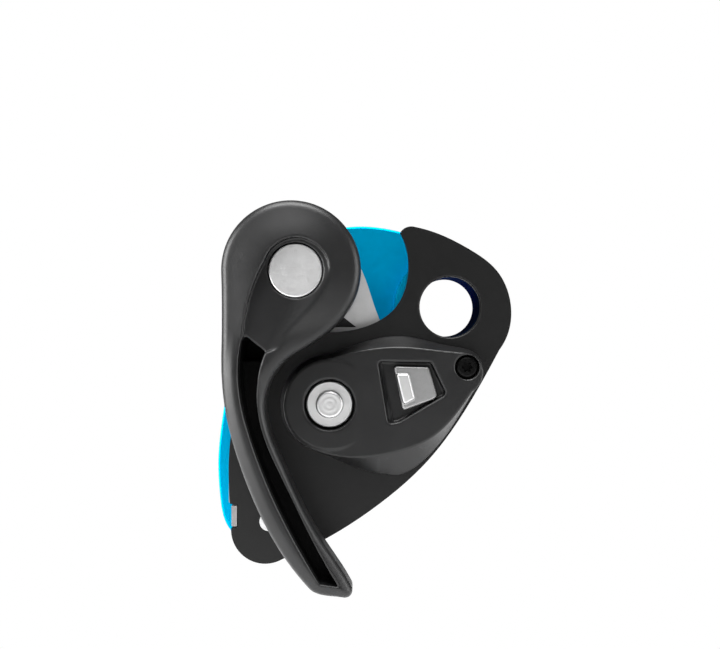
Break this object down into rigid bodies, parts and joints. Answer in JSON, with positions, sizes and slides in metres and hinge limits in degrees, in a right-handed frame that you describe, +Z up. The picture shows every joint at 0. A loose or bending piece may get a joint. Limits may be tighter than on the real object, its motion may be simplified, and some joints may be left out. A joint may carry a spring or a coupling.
{
  "type": "belay device",
  "caption": "Assisted-braking belay device: two side plates, a cam on an axle, a folding release handle and a mode selector.",
  "frame": {"origin": "centre of the karabiner hole, between the two side plates", "axes": "+Z up and +X towards the karabiner as the device hangs in use, -Y out of the front cover"},
  "size_m": [0.0775, 0.0377, 0.097],
  "materials": {
    "blue_anodised": "satin anodised",
    "black_anodised": "matt",
    "black_nylon": "fine-textured moulding",
    "cast_steel": "blasted",
    "bright_steel": "turned",
    "liner_steel": "rolled sheet",
    "slider_metal": "cast and tumbled",
    "black_steel": "black oxide",
    "spring_steel": "drawn wire",
    "bronze": "sintered"
  },
  "bodies": {
    "fixed_side": {"fixed_side_plate": "blue_anodised", "cam_axle": "bright_steel", "axle_washer": "bright_steel", "friction_block": "cast_steel", "friction_block_rivets": "bright_steel", "cam_stop_pin": "bright_steel"},
    "cam_unit": {"cam": "cast_steel", "cam_bush": "bronze", "cam_return_spring": "spring_steel", "handle_rivet": "bright_steel", "drive_hub": "bright_steel"},
    "handle": {"handle_lever": "black_nylon", "handle_bush": "bronze", "handle_return_spring": "spring_steel", "head_base_plate": "liner_steel", "base_plate_screws": "black_steel", "pawl_pin": "bright_steel", "pawl_spring": "spring_steel"},
    "pawl": {"overload_pawl": "cast_steel"},
    "swing_side": {"moving_side_plate": "black_anodised", "plate_bush": "bronze", "wear_plate": "liner_steel", "wear_plate_rivets": "bright_steel", "front_cover": "black_nylon", "cover_screw": "black_steel", "mode_spring": "spring_steel", "detent_leaf": "spring_steel"},
    "selector": {"selector_slider": "slider_metal", "selector_clip": "liner_steel"}
  },
  "joints": [
    {"name": "cam_pivot", "type": "hinge", "parent": "fixed_side", "child": "cam_unit", "pos_m": [-0.03075, 0, -0.02465], "axis": [0, -1, 0], "range_deg": [0, 20], "stiffness_Nm_per_rad": 0.35, "springref_deg": -20.05, "deforming": ["cam_return_spring"]},
    {"name": "handle_fold", "type": "hinge", "parent": "cam_unit", "child": "handle", "pos_m": [-0.03873, -0.018, 0.00862], "axis": [0, 1, 0], "range_deg": [0, 150], "stiffness_Nm_per_rad": 0.03, "springref_deg": -51.57, "deforming": ["handle_return_spring"]},
    {"name": "pawl_lift", "type": "hinge", "parent": "handle", "child": "pawl", "pos_m": [-0.0472, -0.0123, 0.0122], "axis": [0, 1, 0], "range_deg": [0, 11], "stiffness_Nm_per_rad": 0.02, "springref_deg": -17.19, "deforming": ["pawl_spring"]},
    {"name": "side_plate_swing", "type": "hinge", "parent": "fixed_side", "child": "swing_side", "pos_m": [-0.03075, -0.00875, -0.02465], "axis": [0, 1, 0], "range_deg": [0, 75]},
    {"name": "selector_slide", "type": "slide", "parent": "swing_side", "child": "selector", "axis": [-0.9804, 0, -0.197], "range_m": [0, 0.0015]}
  ]
}
